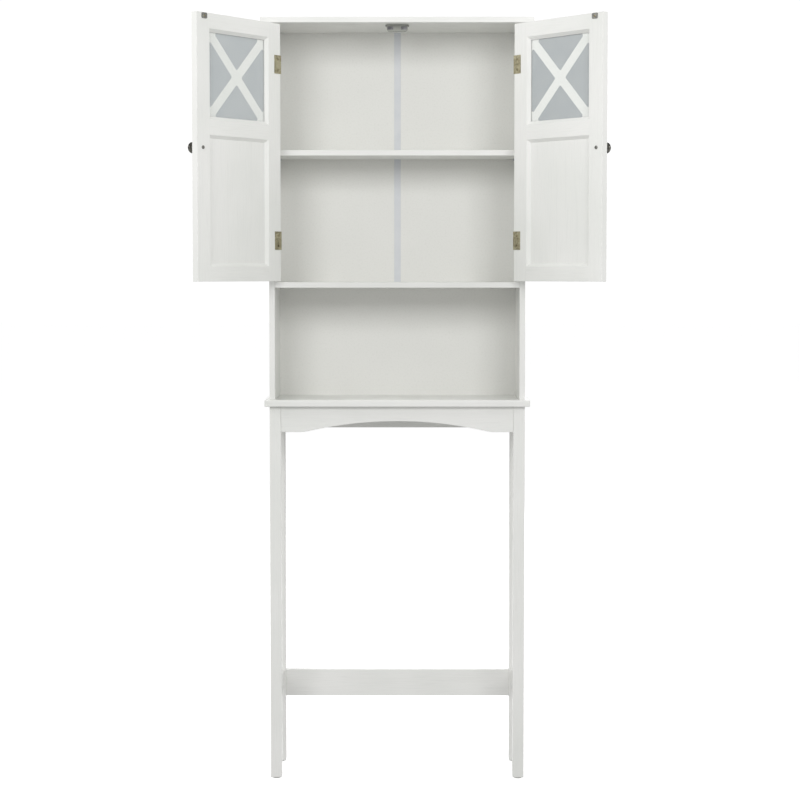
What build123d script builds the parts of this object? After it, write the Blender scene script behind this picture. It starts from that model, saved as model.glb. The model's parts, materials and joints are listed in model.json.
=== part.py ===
from build123d import *
import math
import os

os.makedirs("parts", exist_ok=True)

# A tall cabinet on an open leg frame that stands over a toilet.
# Millimetres. X is the width (0 on the centre plane), Y runs from the room to the wall
# (0 in the middle of the feet), Z is up from the floor. "Left" is -X, as seen from the room.

# Overall sizes
HEIGHT = 1690.0
BODY_WIDTH = 566.0
BODY_DEPTH = 175.0
TOP_WIDTH = 600.0
TOP_FRONT_OVERHANG = 15.0
LEDGE_WIDTH = 588.0
LEDGE_FRONT_OVERHANG = 11.0
BOARD = 12.5
LEDGE_THICKNESS = 15.0
LEDGE_TOP_Z = 850.0
FLOOR_BOARD_Z = 1098.0
EDGE = 1.0
TOP_EDGE = 1.5
LEDGE_UPPER_EDGE = 3.0
LEDGE_LOWER_EDGE = 2.0

# Back: thin boards in a rabbet, joined by a plastic strip
BACK_THICKNESS = 3.0
BACK_INSET = 1.0
RABBET_WIDTH = 6.0
STRIP_WIDTH = 15.0
STRIP_WEB = 2.0
STRIP_FLANGE = 1.0

# Adjustable shelf
SHELF_Z = 1390.0
SHELF_FRONT_Y = -66.0
SHELF_REAR_Y = 78.0
SHELF_END_GAP = 1.0
PIN_RADIUS = 2.5
PIN_REACH = 8.0
PIN_COLLAR_RADIUS = 3.6
PIN_ROWS_Y = (-45.0, 50.0)
PIN_HOLE_PITCH = 64.0
PIN_HOLE_SPARE = 1.5

# Leg frame
LEG = 25.0
LEG_EDGE = 1.5
GLIDE_RADIUS = 9.0
GLIDE_THICKNESS = 3.0
GLIDE_NAIL_RADIUS = 1.3
GLIDE_NAIL_LENGTH = 15.0
RAIL = 15.0
RAIL_SETBACK = 1.5
APRON_BOTTOM_Z = 778.0
ARCH_RISE = 24.5
ARCH_HALF_SPAN = 215.0
ARCH_END_RADIUS = 80.0
APRON_EDGE = 0.8
REAR_APRON_DROP = 2.0
STRETCHER_Z = (182.0, 215.0)
CROSSBAR_Z = (154.0, 215.0)

# Doors, drawn closed and then swung open
DOOR_THICKNESS = 15.0
DOOR_BOTTOM_Z = 1112.5
DOOR_TOP_Z = 1674.5
DOOR_HINGE_GAP = 3.0
DOOR_MIDDLE_GAP = 3.0
STILE = 39.0
DOOR_RAIL = 32.0
WINDOW_HEIGHT = 190.0
BEVEL = 7.0
RECESS = 6.5
GROOVE_DEPTH = 6.0
PANEL_THICKNESS = 4.0
PANE_THICKNESS = 2.0
GRILLE_THICKNESS = 4.0
GRILLE_BAR = 21.0
GRILLE_CORNER = 4.0
TENON_THICKNESS = 4.0
TENON_HEIGHT = 18.0
TENON_LENGTH = 20.0
SLACK = 0.5
LEFT_OPEN_DEG = 127.0
RIGHT_OPEN_DEG = 130.5

# Hinges
HINGE_HEIGHT = 40.0
HINGE_END_DISTANCE = 89.0
LEAF = 1.2
BARREL_RADIUS = 2.8
KNUCKLES = 5
KNUCKLE_GAP = 0.2
HINGE_PIN_RADIUS = 1.2
HINGE_PIN_FIT = 0.05
HINGE_BUTTON_RADIUS = 2.0
HINGE_BUTTON_HEIGHT = 0.9
LEAF_TO_BARREL = 3.3
FRAME_LEAF_DEPTH = 31.0
WRAP_WIDTH = 20.0
HINGE_SCREW_SPREAD = 11.0
FRAME_SCREW_FROM_EDGE = 5.5

# Knobs, catch and strike plates
KNOB_FROM_EDGE = 17.5
KNOB_CROWN = ((0, 22.0), (8.2, 20.0), (12.0, 16.0))
KNOB_SHOULDER = ((12.0, 16.0), (11.2, 13.0), (8.5, 11.4))
KNOB_WAIST = ((8.5, 11.4), (5.2, 7.0), (5.6, 2.6))
KNOB_BASE_EDGE = (7.5, 2.0)
KNOB_BORE_DEPTH = 8.0
KNOB_SCREW_RADIUS = 2.0
KNOB_SCREW_IN_KNOB = 7.0
KNOB_SCREW_HEAD_RADIUS = 3.8
KNOB_SCREW_HEAD_HEIGHT = 2.0
KNOB_SCREW_SLOT = (4.6, 0.9)
STRIKE_SIZE = (16.0, 12.0)
STRIKE_CORNER = 3.0
STRIKE_FROM_EDGE = 23.0
STRIKE_THICKNESS = 1.4
STRIKE_SCREW_SINK = 1.0
CATCH_WIDTH = 46.0
CATCH_DEPTH = 13.0
CATCH_HEIGHT = 15.0
CATCH_CORNER = 6.0
CATCH_GAP = 0.3
FLANGE_WIDTH = 52.0
FLANGE_FROM_FRONT = (5.0, 28.0)
FLANGE_THICKNESS = 2.5
FLANGE_CORNER = 3.0
CATCH_SCREW_X = 16.0
CATCH_SCREW_FROM_FRONT = 20.7
MAGNET_X = (-21.5, -8.5)
MAGNET_DEPTH = 8.0
MAGNET_BELOW_TOP = (4.5, 11.5)

# Fasteners
DOWEL_RADIUS = 3.0
DOWEL_LENGTH = 30.0
DOWEL_SHALLOW = 9.0
APRON_DOWEL_RISES = (10.0, 40.0)
RAIL_DOWEL_RISES = (24.0, 49.5)
STRETCHER_DOWEL_RISES = (8.5, 25.0)
CROSSBAR_DOWEL_RISES = (15.0, 45.0)
LEG_DOWEL_INSET = 6.0
PANEL_DOWEL_YS = (-22.0, 22.0)
HOLE_FIT = 0.1
SNUG_FIT = 0.05
SMALL_SCREW_RADIUS = 1.4
SMALL_HEAD_RADIUS = 2.6
SMALL_HEAD_HEIGHT = 1.0
SMALL_SLOT = (3.0, 0.7)
CABINET_SCREW_LENGTH = 9.0
DOOR_SCREW_LENGTH = 10.0
CAM_RADIUS = 7.4
CAM_DEPTH = 10.0
CAM_DISTANCE = 24.0
CAM_ROWS_Y = (-52.0, 52.0)
CAM_SLOT = (10.0, 1.4)
CAM_THREAD_RADIUS = 2.5
CAM_NECK_RADIUS = 2.0
CAM_HEAD_RADIUS = 3.2
CAM_HEAD_LENGTH = 3.5
CAM_BORE_RADIUS = 3.5
LEDGE_SCREW_YS = (-40.0, 40.0)
LEDGE_SCREW_HEAD = (4.5, 3.0)
LEDGE_SCREW_SHANK = (2.5, 42.0)
NAIL_RADIUS = 0.8
NAIL_LENGTH = 16.0
NAIL_HEAD = (2.5, 0.8)
NAIL_ROWS = 8
NAIL_END_DISTANCE = 40.0
NAIL_XS = (-210.0, -75.0, 75.0, 210.0)
NAIL_FROM_JOINT = 3.2

# Wall brackets
BRACKET_X = 200.0
BRACKET_WIDTH = 20.0
BRACKET_LEG = 20.0
BRACKET_RISE = 16.0
BRACKET_STEEL = 1.5
BRACKET_HOLE_RADIUS = 2.75
BRACKET_HOLE_HEIGHT = 9.5
BRACKET_SCREW_FROM_WALL = 13.0

# Derived sizes
FRONT = -BODY_DEPTH / 2
REAR = BODY_DEPTH / 2
HALF = BODY_WIDTH / 2
INNER = HALF - BOARD
TOP_Z = HEIGHT - BOARD
LEDGE_Z = LEDGE_TOP_Z - LEDGE_THICKNESS
FLOOR_TOP_Z = FLOOR_BOARD_Z + BOARD
FLOOR_MIDDLE_Z = FLOOR_BOARD_Z + BOARD / 2
BACK_REAR = REAR - BACK_INSET
BACK_FRONT = BACK_REAR - BACK_THICKNESS
LEG_INNER = HALF - LEG
LEG_CENTRE_X = HALF - LEG / 2
LEG_CENTRE_Y = REAR - LEG / 2
PANEL_MIDDLE_X = HALF - BOARD / 2
HINGE_X = INNER - DOOR_HINGE_GAP / 2
HINGE_Y = FRONT - BARREL_RADIUS
DOOR_HINGE_EDGE = INNER - DOOR_HINGE_GAP
DOOR_FREE_EDGE = DOOR_MIDDLE_GAP / 2
DOOR_INNER_Y = FRONT + DOOR_THICKNESS
DOOR_MIDDLE_Z = (DOOR_BOTTOM_Z + DOOR_TOP_Z) / 2
PANEL_Z = (DOOR_BOTTOM_Z + DOOR_RAIL, DOOR_TOP_Z - 2 * DOOR_RAIL - WINDOW_HEIGHT)
WINDOW_Z = (DOOR_TOP_Z - DOOR_RAIL - WINDOW_HEIGHT, DOOR_TOP_Z - DOOR_RAIL)
OPENING_X = (-DOOR_HINGE_EDGE + STILE, -DOOR_FREE_EDGE - STILE)
HINGE_ZS = (DOOR_BOTTOM_Z + HINGE_END_DISTANCE, DOOR_TOP_Z - HINGE_END_DISTANCE)
STRIKE_X = -DOOR_FREE_EDGE - STRIKE_FROM_EDGE
STRIKE_TOP_Z = DOOR_TOP_Z - EDGE
CATCH_FRONT_Y = DOOR_INNER_Y + STRIKE_THICKNESS + CATCH_GAP


def block(x, y, z):
    """A box between the two values of each of x, y and z, given in any order."""
    low = [min(pair) for pair in (x, y, z)]
    high = [max(pair) for pair in (x, y, z)]
    size = [b - a for a, b in zip(low, high)]
    centre = [(a + b) / 2 for a, b in zip(low, high)]
    return Pos(*centre) * Box(*size)


def rod(start, direction, length, radius):
    """A cylinder that starts at a point and runs along a direction."""
    place = Plane(origin=start, z_dir=direction)
    return place * Cylinder(radius, length, align=(Align.CENTER, Align.CENTER, Align.MIN))


def softened(shape, radius=EDGE):
    """The shape with all its edges slightly rounded, as sanded and painted board is."""
    return fillet(shape.edges(), radius)


def mirrored(shapes):
    """The same shapes on the other side of the centre plane."""
    return [mirror(shape, about=Plane.YZ) for shape in shapes]


def both(shapes):
    """The shapes together with their mirror images."""
    return shapes + mirrored(shapes)


def turned(shapes, angle):
    """The shapes swung about the left door's hinge axis."""
    axis = Axis((-HINGE_X, HINGE_Y, 0), (0, 0, 1))
    return [shape.rotate(axis, angle) for shape in shapes]


def touches(a, b):
    """Whether the bounding boxes of two shapes overlap."""
    one, two = a.bounding_box(), b.bounding_box()
    low = (max(one.min.X, two.min.X), max(one.min.Y, two.min.Y), max(one.min.Z, two.min.Z))
    high = (min(one.max.X, two.max.X), min(one.max.Y, two.max.Y), min(one.max.Z, two.max.Z))
    return all(a < b for a, b in zip(low, high))


def drilled(board, drills):
    """The board with every hole that reaches it."""
    reaching = [drill for drill in drills if touches(board, drill)]
    return board - reaching if reaching else board


def both_sides_places(places):
    """Seats and directions with their mirror images."""
    other = [((-s[0], s[1], s[2]), (-d[0], d[1], d[2])) for s, d in places]
    return places + other


# ---------------------------------------------------------------- fasteners

def small_screw(seat, direction, length):
    """A round-headed cross screw: its head stands on the seat, its shank goes along direction."""
    place = Plane(origin=seat, z_dir=direction)
    back = (Align.CENTER, Align.CENTER, Align.MAX)
    head = Cylinder(SMALL_HEAD_RADIUS, SMALL_HEAD_HEIGHT, align=back)
    head = fillet(head.edges().sort_by(Axis.Z)[0], SMALL_HEAD_HEIGHT * 0.6)
    slot_length, slot_width = SMALL_SLOT
    slot = Pos(0, 0, -SMALL_HEAD_HEIGHT) * Box(slot_width, slot_length, SMALL_HEAD_HEIGHT)
    shank = Cylinder(SMALL_SCREW_RADIUS, length, align=(Align.CENTER, Align.CENTER, Align.MIN))
    return place * (head + shank - slot - Rot(0, 0, 90) * slot)


def small_screw_hole(seat, direction, length):
    """The hole for a small screw, from just above its seat."""
    start = Vector(*seat) - Vector(*direction) * 2
    return rod(start, direction, length + 2.5, SMALL_SCREW_RADIUS + HOLE_FIT)


def dowel(joint, direction, into):
    """A wood dowel across a joint: it goes `into` mm past the joint along direction."""
    start = Vector(*joint) - Vector(*direction) * (DOWEL_LENGTH - into)
    return softened(rod(start, direction, DOWEL_LENGTH, DOWEL_RADIUS), 0.5)


def dowel_hole(joint, direction, into):
    """The hole for a dowel, a little longer at both ends."""
    start = Vector(*joint) - Vector(*direction) * (DOWEL_LENGTH - into + SLACK)
    return rod(start, direction, DOWEL_LENGTH + 2 * SLACK, DOWEL_RADIUS + HOLE_FIT)


def leg_frame_joints():
    """Where the dowels of the leg frame go, for the left side."""
    half = DOWEL_LENGTH / 2
    side_zs = [APRON_BOTTOM_Z + rise for rise in RAIL_DOWEL_RISES]
    side_zs += [STRETCHER_Z[0] + rise for rise in STRETCHER_DOWEL_RISES]
    joints = []
    for y in (-1, 1):
        apron_y = y * (REAR - RAIL_SETBACK - RAIL / 2)
        for rise in APRON_DOWEL_RISES:
            joints.append(((-LEG_INNER, apron_y, APRON_BOTTOM_Z + rise), (-1, 0, 0), half))
        for z in side_zs:
            joints.append(((-LEG_CENTRE_X, y * (REAR - LEG), z), (0, y, 0), half))
        corner = (-HALF + LEG_DOWEL_INSET, y * (REAR - LEG_DOWEL_INSET), LEDGE_Z)
        joints.append((corner, (0, 0, 1), DOWEL_SHALLOW))
    for rise in CROSSBAR_DOWEL_RISES:
        joints.append(((-LEG_INNER, LEG_CENTRE_Y, CROSSBAR_Z[0] + rise), (-1, 0, 0), half))
    return joints


def cabinet_joints():
    """Where the dowels of the cabinet go, for the left side."""
    joints = [((-PANEL_MIDDLE_X, 0, LEDGE_TOP_Z), (0, 0, -1), DOWEL_SHALLOW)]
    for y in PANEL_DOWEL_YS:
        joints.append(((-PANEL_MIDDLE_X, y, TOP_Z), (0, 0, 1), DOWEL_SHALLOW))
        joints.append(((-INNER, y, FLOOR_MIDDLE_Z), (-1, 0, 0), DOWEL_SHALLOW))
    return joints


def cam_places():
    """Frames of the cam fittings of the left side: origin on the joint, Z along the bolt's
    thread and X towards the face that the cam is turned from."""
    places = []
    for y in CAM_ROWS_Y:
        places.append(Plane(origin=(-PANEL_MIDDLE_X, y, TOP_Z), x_dir=(1, 0, 0), z_dir=(0, 0, 1)))
        places.append(Plane(origin=(-INNER, y, FLOOR_MIDDLE_Z), x_dir=(0, 0, -1), z_dir=(-1, 0, 0)))
    return places


def cam_bolt():
    """A threaded pin with a neck and a head that the cam pulls on."""
    thread = rod((0, 0, 0), (0, 0, 1), DOWEL_SHALLOW, CAM_THREAD_RADIUS)
    neck = rod((0, 0, -CAM_DISTANCE), (0, 0, 1), CAM_DISTANCE, CAM_NECK_RADIUS)
    head = rod((0, 0, -CAM_DISTANCE - 2), (0, 0, 1), CAM_HEAD_LENGTH, CAM_HEAD_RADIUS)
    return thread + neck + head


def cam_lock():
    """A round cam with a slot across its face and a bore for the bolt's head."""
    disc = rod((BOARD / 2 - CAM_DEPTH, 0, -CAM_DISTANCE), (1, 0, 0), CAM_DEPTH, CAM_RADIUS)
    bore = rod((0, 0, -CAM_DISTANCE - 4), (0, 0, 1), 5 + CAM_RADIUS, CAM_BORE_RADIUS)
    slot = Pos(BOARD / 2, 0, -CAM_DISTANCE) * Box(3.0, *CAM_SLOT)
    return disc - bore - slot


def cam_drill():
    """The holes that a cam fitting needs in the two boards that it joins."""
    thread = rod((0, 0, -1), (0, 0, 1), DOWEL_SHALLOW + 1.5, CAM_THREAD_RADIUS + HOLE_FIT)
    neck = rod((0, 0, -CAM_DISTANCE), (0, 0, 1), CAM_DISTANCE, CAM_BORE_RADIUS)
    pocket = rod((BOARD / 2 - CAM_DEPTH, 0, -CAM_DISTANCE), (1, 0, 0), CAM_DEPTH + 1, CAM_RADIUS + HOLE_FIT)
    return thread + neck + pocket


def ledge_screw(x, y, fit=0.0):
    """A long countersunk screw from under the ledge board into a side panel."""
    head_radius, head_height = LEDGE_SCREW_HEAD
    shank_radius, shank_length = LEDGE_SCREW_SHANK
    head = rod((x, y, LEDGE_Z), (0, 0, 1), head_height, head_radius + fit)
    shank = rod((x, y, LEDGE_Z + head_height), (0, 0, 1), shank_length, shank_radius + fit)
    return head + shank


def back_nail_places():
    """Where the nails go that hold the back boards, on the boards' rear face."""
    places = []
    edge_x = INNER + RABBET_WIDTH / 2
    lowest, highest = LEDGE_TOP_Z + NAIL_END_DISTANCE, TOP_Z - NAIL_END_DISTANCE
    for row in range(NAIL_ROWS):
        z = lowest + row * (highest - lowest) / (NAIL_ROWS - 1)
        places += [(-edge_x, z), (edge_x, z)]
    for x in NAIL_XS:
        places += [(x, FLOOR_MIDDLE_Z + NAIL_FROM_JOINT), (x, FLOOR_MIDDLE_Z - NAIL_FROM_JOINT)]
    return places


def back_nail(x, z, fit=0.0):
    """A flat-headed nail through a back board."""
    shank = rod((x, BACK_REAR, z), (0, -1, 0), NAIL_LENGTH + fit, NAIL_RADIUS + fit)
    head_radius, head_height = NAIL_HEAD
    head = rod((x, BACK_REAR, z), (0, 1, 0), head_height, head_radius)
    return shank + head


# ---------------------------------------------------------------- cabinet

def top_board():
    board = block((-TOP_WIDTH / 2, TOP_WIDTH / 2), (FRONT - TOP_FRONT_OVERHANG, REAR), (TOP_Z, HEIGHT))
    return softened(board, TOP_EDGE)


def ledge_board():
    """The moulded board between cabinet and legs, rounded over along its front and ends."""
    x = LEDGE_WIDTH / 2
    board = block((-x, x), (FRONT - LEDGE_FRONT_OVERHANG, REAR), (LEDGE_Z, LEDGE_TOP_Z))
    corners = board.edges().filter_by(Axis.Z).sort_by(Axis.Y)[:2]
    board = fillet(corners, LEDGE_UPPER_EDGE)
    upper = [e for e in board.faces().sort_by(Axis.Z)[-1].edges() if e.center().Y < REAR - EDGE]
    board = fillet(upper, LEDGE_UPPER_EDGE)
    lower = [e for e in board.faces().sort_by(Axis.Z)[0].edges() if e.center().Y < REAR - EDGE]
    return fillet(lower, LEDGE_LOWER_EDGE)


def side_panel():
    """The left side panel, with its rabbet for the back and two columns of shelf-pin holes."""
    panel = softened(block((-HALF, -INNER), (FRONT, REAR), (LEDGE_TOP_Z, TOP_Z)))
    rabbet = block((-INNER - RABBET_WIDTH, -INNER + 1), (BACK_FRONT, REAR + 1), (LEDGE_TOP_Z - 1, TOP_Z + 1))
    panel = panel - rabbet
    for y in PIN_ROWS_Y:
        for step in (-1, 0, 1):
            z = SHELF_Z - PIN_RADIUS + step * PIN_HOLE_PITCH
            hole = rod((-INNER + 1, y, z), (-1, 0, 0), PIN_REACH + PIN_HOLE_SPARE, PIN_RADIUS + SNUG_FIT)
            panel = panel - hole
    return panel


def floor_board():
    return softened(block((-INNER, INNER), (FRONT, BACK_FRONT), (FLOOR_BOARD_Z, FLOOR_TOP_Z)))


def adjustable_shelf():
    x = INNER - SHELF_END_GAP
    return softened(block((-x, x), (SHELF_FRONT_Y, SHELF_REAR_Y), (SHELF_Z, SHELF_Z + BOARD)))


def shelf_pin(y):
    """A left shelf pin: a peg in the side panel, a collar on it and a peg under the shelf."""
    z = SHELF_Z - PIN_RADIUS
    peg = rod((-INNER - PIN_REACH, y, z), (1, 0, 0), 2 * PIN_REACH, PIN_RADIUS)
    collar = rod((-INNER, y, z), (1, 0, 0), SHELF_END_GAP, PIN_COLLAR_RADIUS)
    return peg + collar


def upper_back_board():
    """The left half of the back, behind the door compartments."""
    x = (-INNER - RABBET_WIDTH, -STRIP_WEB / 2)
    return block(x, (BACK_FRONT, BACK_REAR), (FLOOR_MIDDLE_Z, TOP_Z))


def lower_back_board():
    """The back of the open compartment."""
    x = INNER + RABBET_WIDTH
    return block((-x, x), (BACK_FRONT, BACK_REAR), (LEDGE_TOP_Z, FLOOR_MIDDLE_Z))


def back_joining_strip():
    """An H-shaped strip that takes the edges of the two upper back boards."""
    half = STRIP_WIDTH / 2
    z = (FLOOR_TOP_Z, TOP_Z)
    front = block((-half, half), (BACK_FRONT - STRIP_FLANGE, BACK_FRONT), z)
    web = block((-STRIP_WEB / 2, STRIP_WEB / 2), (BACK_FRONT, BACK_REAR), z)
    rear = block((-half, half), (BACK_REAR, REAR), z)
    return front + web + rear


def catch_screw_seats():
    y = CATCH_FRONT_Y + CATCH_SCREW_FROM_FRONT
    return [(x, y, TOP_Z - FLANGE_THICKNESS) for x in (-CATCH_SCREW_X, CATCH_SCREW_X)]


def catch_housing():
    """A double magnetic catch: a rounded body under the top board and a flange behind it."""
    half = CATCH_WIDTH / 2
    y = (CATCH_FRONT_Y, CATCH_FRONT_Y + CATCH_DEPTH)
    body = block((-half, half), y, (TOP_Z - CATCH_HEIGHT, TOP_Z))
    low_edges = body.edges().filter_by(Axis.Y).sort_by(Axis.Z)[:2]
    body = fillet(low_edges, CATCH_CORNER)
    half = FLANGE_WIDTH / 2
    y = [CATCH_FRONT_Y + distance for distance in FLANGE_FROM_FRONT]
    flange = block((-half, half), y, (TOP_Z - FLANGE_THICKNESS, TOP_Z))
    flange = fillet(flange.edges().filter_by(Axis.Z), FLANGE_CORNER)
    return body + flange


def catch_magnet():
    """The left magnet with its face flush with the housing's front."""
    z = [TOP_Z - distance for distance in MAGNET_BELOW_TOP]
    return block(MAGNET_X, (CATCH_FRONT_Y, CATCH_FRONT_Y + MAGNET_DEPTH), z)


# ---------------------------------------------------------------- leg frame

def leg(x_side, y_side):
    x = (x_side * LEG_INNER, x_side * HALF)
    y = (y_side * (REAR - LEG), y_side * REAR)
    return softened(block(x, y, (GLIDE_THICKNESS, LEDGE_Z)), LEG_EDGE)


def glide(x_side, y_side, fit=0.0):
    """A nail-on glide under a leg."""
    x, y = x_side * LEG_CENTRE_X, y_side * LEG_CENTRE_Y
    foot = rod((x, y, 0), (0, 0, 1), GLIDE_THICKNESS, GLIDE_RADIUS)
    foot = fillet(foot.edges().sort_by(Axis.Z)[0], EDGE)
    nail = rod((x, y, GLIDE_THICKNESS), (0, 0, 1), GLIDE_NAIL_LENGTH + fit, GLIDE_NAIL_RADIUS + fit)
    return foot + nail


def front_apron():
    """The apron with a shallow arch: a long arc that runs into small reverse arcs at its ends."""
    arch_radius = (ARCH_HALF_SPAN**2 + ARCH_RISE**2) / (2 * ARCH_RISE) - ARCH_END_RADIUS
    share = arch_radius / (arch_radius + ARCH_END_RADIUS)
    low, high = APRON_BOTTOM_Z, LEDGE_Z
    top = low + ARCH_RISE
    centre_z = top - arch_radius
    meet_x = ARCH_HALF_SPAN * share
    meet_z = centre_z + (low + ARCH_END_RADIUS - centre_z) * share
    half_turn = math.asin(meet_x / arch_radius) / 2
    end_x = ARCH_HALF_SPAN - ARCH_END_RADIUS * math.sin(half_turn)
    end_z = low + ARCH_END_RADIUS * (1 - math.cos(half_turn))
    with BuildSketch(Plane.XZ) as outline:
        with BuildLine():
            Polyline((-ARCH_HALF_SPAN, low), (-LEG_INNER, low), (-LEG_INNER, high),
                     (LEG_INNER, high), (LEG_INNER, low), (ARCH_HALF_SPAN, low))
            ThreePointArc((ARCH_HALF_SPAN, low), (end_x, end_z), (meet_x, meet_z))
            ThreePointArc((meet_x, meet_z), (0, top), (-meet_x, meet_z))
            ThreePointArc((-meet_x, meet_z), (-end_x, end_z), (-ARCH_HALF_SPAN, low))
        make_face()
    apron = extrude(outline.sketch, -RAIL)
    apron = Pos(0, FRONT + RAIL_SETBACK, 0) * apron
    return softened(apron, APRON_EDGE)


def rear_apron():
    y = (REAR - RAIL_SETBACK - RAIL, REAR - RAIL_SETBACK)
    return softened(block((-LEG_INNER, LEG_INNER), y, (APRON_BOTTOM_Z - REAR_APRON_DROP, LEDGE_Z)))


def side_rail(z):
    """A rail of the left side frame, between its two legs."""
    x = (-LEG_CENTRE_X - RAIL / 2, -LEG_CENTRE_X + RAIL / 2)
    return softened(block(x, (FRONT + LEG, REAR - LEG), z))


def rear_crossbar():
    y = (LEG_CENTRE_Y - RAIL / 2, LEG_CENTRE_Y + RAIL / 2)
    return softened(block((-LEG_INNER, LEG_INNER), y, CROSSBAR_Z))


# ---------------------------------------------------------------- left door, closed

def pocket(x, z, near, far):
    """A pocket that narrows by the bevel on all sides from the plane y=near to y=far."""
    (near_y, near_in), (far_y, far_in) = near, far
    sections = []
    for y, inset in ((near_y, near_in), (far_y, far_in)):
        size = (x[1] - x[0] - 2 * inset, z[1] - z[0] - 2 * inset)
        centre = ((x[0] + x[1]) / 2, y, (z[0] + z[1]) / 2)
        sections.append(Plane(origin=centre, x_dir=(1, 0, 0), z_dir=(0, -1, 0)) * Rectangle(*size))
    return loft(sections)


def panel_opening(z, filling):
    """What is cut from the door for one opening: bevels on both faces and the groove between
    them, which holds a filling of the given thickness."""
    groove_in = DOOR_INNER_Y - RECESS
    groove_out = groove_in - filling
    bevel_out = groove_out - FRONT
    over = 1.0
    slope = BEVEL / RECESS
    inner = pocket(OPENING_X, z, (DOOR_INNER_Y + over, -over * slope), (groove_in, BEVEL))
    outer = pocket(OPENING_X, z, (FRONT - over, BEVEL - bevel_out - over), (groove_out, BEVEL))
    reach = BEVEL - GROOVE_DEPTH
    groove = block((OPENING_X[0] + reach, OPENING_X[1] - reach), (groove_out, groove_in),
                   (z[0] + reach, z[1] - reach))
    return inner + outer + groove


def door_frame():
    """The left door's frame in one piece, before it is divided into stiles and rails."""
    x = (-DOOR_HINGE_EDGE, -DOOR_FREE_EDGE)
    slab = softened(block(x, (FRONT, DOOR_INNER_Y), (DOOR_BOTTOM_Z, DOOR_TOP_Z)))
    slab = slab - panel_opening(PANEL_Z, PANEL_THICKNESS)
    return slab - panel_opening(WINDOW_Z, PANE_THICKNESS + GRILLE_THICKNESS)


def stile_space(edge, inward):
    """The space of one stile: its full-height board and its bevelled lips beside the openings."""
    y = (FRONT - 1, DOOR_INNER_Y + 1)
    space = block((edge, edge + inward * STILE), y, (DOOR_BOTTOM_Z - 1, DOOR_TOP_Z + 1))
    for z in (PANEL_Z, WINDOW_Z):
        space = space + block((edge, edge + inward * (STILE + BEVEL)), y, z)
    return space


def rail_space(z):
    """The space of one rail with its lips, between the stiles."""
    return block(OPENING_X, (FRONT - 1, DOOR_INNER_Y + 1), z)


def door_members():
    """Stiles and rails. Each rail has a stub tenon in both stiles."""
    frame = door_frame()
    left_space = stile_space(-DOOR_HINGE_EDGE, 1)
    right_space = stile_space(-DOOR_FREE_EDGE, -1)
    rails = {
        "bottom_rail": (DOOR_BOTTOM_Z, PANEL_Z[0]),
        "mid_rail": (PANEL_Z[1], WINDOW_Z[0]),
        "top_rail": (WINDOW_Z[1], DOOR_TOP_Z),
    }
    members = {"hinge_stile": frame & left_space, "latch_stile": frame & right_space}
    tenon_y = (DOOR_INNER_Y - RECESS - TENON_THICKNESS, DOOR_INNER_Y - RECESS)
    for name, z in rails.items():
        rail = frame & rail_space((z[0] - BEVEL, z[1] + BEVEL)) - left_space - right_space
        middle = (z[0] + z[1]) / 2
        tenon_z = (middle - TENON_HEIGHT / 2, middle + TENON_HEIGHT / 2)
        tenons = block((OPENING_X[0] - TENON_LENGTH, OPENING_X[0]), tenon_y, tenon_z)
        tenons = tenons + block((OPENING_X[1], OPENING_X[1] + TENON_LENGTH), tenon_y, tenon_z)
        members[name] = rail + tenons
        members["hinge_stile"] = members["hinge_stile"] - tenons
        members["latch_stile"] = members["latch_stile"] - tenons
    return members


def groove_sheet(z, y):
    """A sheet that fills an opening's groove with a little slack at its edges."""
    inset = BEVEL - GROOVE_DEPTH + SLACK
    x = (OPENING_X[0] + inset, OPENING_X[1] - inset)
    return block(x, y, (z[0] + inset, z[1] - inset))


def lower_panel():
    inner = DOOR_INNER_Y - RECESS
    return groove_sheet(PANEL_Z, (inner - PANEL_THICKNESS, inner))


def window_pane():
    inner = DOOR_INNER_Y - RECESS
    return groove_sheet(WINDOW_Z, (inner - PANE_THICKNESS, inner))


def window_grille():
    """A sheet with four rounded triangles cut from it, which leaves two crossed bars."""
    inner = DOOR_INNER_Y - RECESS - PANE_THICKNESS
    sheet = groove_sheet(WINDOW_Z, (inner - GRILLE_THICKNESS, inner))
    half_x = (OPENING_X[1] - OPENING_X[0]) / 2 - BEVEL
    half_z = WINDOW_HEIGHT / 2 - BEVEL
    diagonal = math.hypot(half_x, half_z)
    shift_x = GRILLE_BAR / 2 * diagonal / half_z
    shift_z = GRILLE_BAR / 2 * diagonal / half_x
    side = [(half_x, shift_z - half_z), (half_x, half_z - shift_z), (shift_x, 0)]
    end = [(half_x - shift_x, half_z), (shift_x - half_x, half_z), (0, shift_z)]
    middle = ((OPENING_X[0] + OPENING_X[1]) / 2, inner, (WINDOW_Z[0] + WINDOW_Z[1]) / 2)
    place = Plane(origin=middle, x_dir=(1, 0, 0), z_dir=(0, -1, 0))
    for points in (side, end):
        for turn in (0, 180):
            triangle = Polygon(*points, align=None)
            triangle = fillet(triangle.vertices(), GRILLE_CORNER)
            sheet = sheet - extrude(place * (Rot(0, 0, turn) * triangle), GRILLE_THICKNESS)
    return sheet


def knob_centre():
    return (-DOOR_FREE_EDGE - KNOB_FROM_EDGE, DOOR_MIDDLE_Z)


def knob():
    """A turned knob: a base, a waist and a domed head, on the door's outer face."""
    with BuildSketch(Plane.XZ) as half_section:
        with BuildLine():
            Polyline((0, KNOB_BORE_DEPTH), KNOB_CROWN[0])
            ThreePointArc(*KNOB_CROWN)
            ThreePointArc(*KNOB_SHOULDER)
            ThreePointArc(*KNOB_WAIST)
            Polyline(KNOB_WAIST[2], KNOB_BASE_EDGE, (KNOB_BASE_EDGE[0], 0), (KNOB_SCREW_RADIUS, 0),
                     (KNOB_SCREW_RADIUS, KNOB_BORE_DEPTH), (0, KNOB_BORE_DEPTH))
        make_face()
    body = revolve(half_section.sketch, Axis.Z)
    x, z = knob_centre()
    return Plane(origin=(x, FRONT, z), z_dir=(0, -1, 0)) * body


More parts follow.
